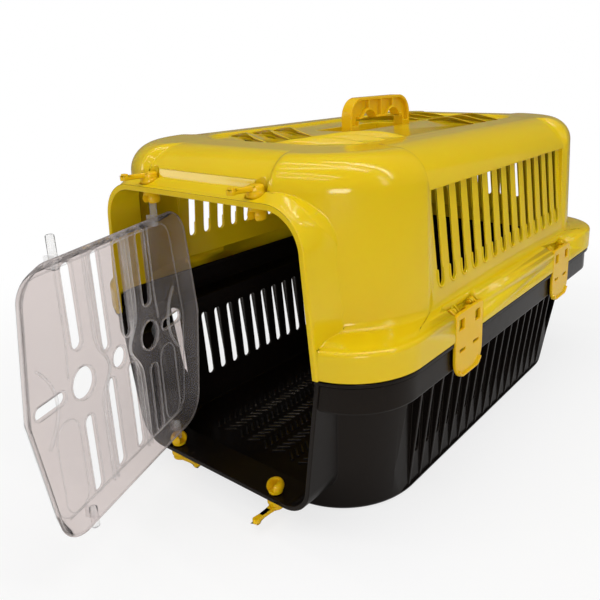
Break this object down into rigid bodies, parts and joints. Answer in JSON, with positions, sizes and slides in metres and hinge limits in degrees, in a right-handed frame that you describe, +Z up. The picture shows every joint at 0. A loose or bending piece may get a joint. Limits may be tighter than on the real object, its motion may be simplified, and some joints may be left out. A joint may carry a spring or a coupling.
{
  "type": "pet carrier",
  "caption": "Moulded two-part pet carrier: ribbed tub, vented top shell, clear swing door on turn latches, flange clips and folding handle.",
  "frame": {"origin": "centre of the base, on the surface the carrier stands on", "axes": "+Z up, -Y out through the doorway, +X to the right of a person who stands behind the carrier and faces its doorway from inside"},
  "size_m": [0.3466, 0.6501, 0.331],
  "materials": {
    "tub": "satin polypropylene",
    "top_shell": "glossy polypropylene",
    "door": "clear polystyrene",
    "fittings": "glossy polypropylene"
  },
  "bodies": {
    "shell": {"tub": "tub", "top_shell": "top_shell"},
    "door": {"door": "door"},
    "latch_top_left": {"knob_top_left": "fittings", "hook_top_left": "fittings"},
    "latch_top_right": {"knob_top_right": "fittings", "hook_top_right": "fittings"},
    "latch_bottom_left": {"knob_bottom_left": "fittings", "hook_bottom_left": "fittings"},
    "latch_bottom_right": {"knob_bottom_right": "fittings", "hook_bottom_right": "fittings"},
    "clip_right_front": {"clip_right_front": "fittings"},
    "clip_right_rear": {"clip_right_rear": "fittings"},
    "clip_left_front": {"clip_left_front": "fittings"},
    "clip_left_rear": {"clip_left_rear": "fittings"},
    "handle": {"handle": "fittings"}
  },
  "joints": [
    {"name": "door_hinge", "type": "hinge", "parent": "shell", "child": "door", "pos_m": [-0.062, -0.24, 0.14], "axis": [0, 0, -1], "range_deg": [-68, 80]},
    {"name": "latch_top_left_turn", "type": "hinge", "parent": "shell", "child": "latch_top_left", "pos_m": [-0.062, -0.24, 0.27], "axis": [0, 0, 1], "range_deg": [0, 90]},
    {"name": "latch_top_right_turn", "type": "hinge", "parent": "shell", "child": "latch_top_right", "pos_m": [0.062, -0.24, 0.27], "axis": [0, 0, 1], "range_deg": [-90, 0]},
    {"name": "latch_bottom_left_turn", "type": "hinge", "parent": "shell", "child": "latch_bottom_left", "pos_m": [-0.062, -0.24, 0.022], "axis": [0, 0, 1], "range_deg": [-90, 0]},
    {"name": "latch_bottom_right_turn", "type": "hinge", "parent": "shell", "child": "latch_bottom_right", "pos_m": [0.062, -0.24, 0.022], "axis": [0, 0, 1], "range_deg": [-90, 0]},
    {"name": "clip_right_front_swing", "type": "hinge", "parent": "shell", "child": "clip_right_front", "pos_m": [0.163, -0.113, 0.168], "axis": [0, -1, 0], "range_deg": [0, 100]},
    {"name": "clip_right_rear_swing", "type": "hinge", "parent": "shell", "child": "clip_right_rear", "pos_m": [0.163, 0.103, 0.168], "axis": [0, -1, 0], "range_deg": [0, 100]},
    {"name": "clip_left_front_swing", "type": "hinge", "parent": "shell", "child": "clip_left_front", "pos_m": [-0.163, -0.113, 0.168], "axis": [0, 1, 0], "range_deg": [0, 100]},
    {"name": "clip_left_rear_swing", "type": "hinge", "parent": "shell", "child": "clip_left_rear", "pos_m": [-0.163, 0.103, 0.168], "axis": [0, 1, 0], "range_deg": [0, 100]},
    {"name": "handle_fold", "type": "hinge", "parent": "shell", "child": "handle", "pos_m": [0, 0.004, 0.294], "axis": [0, -1, 0], "range_deg": [0, 90]}
  ]
}
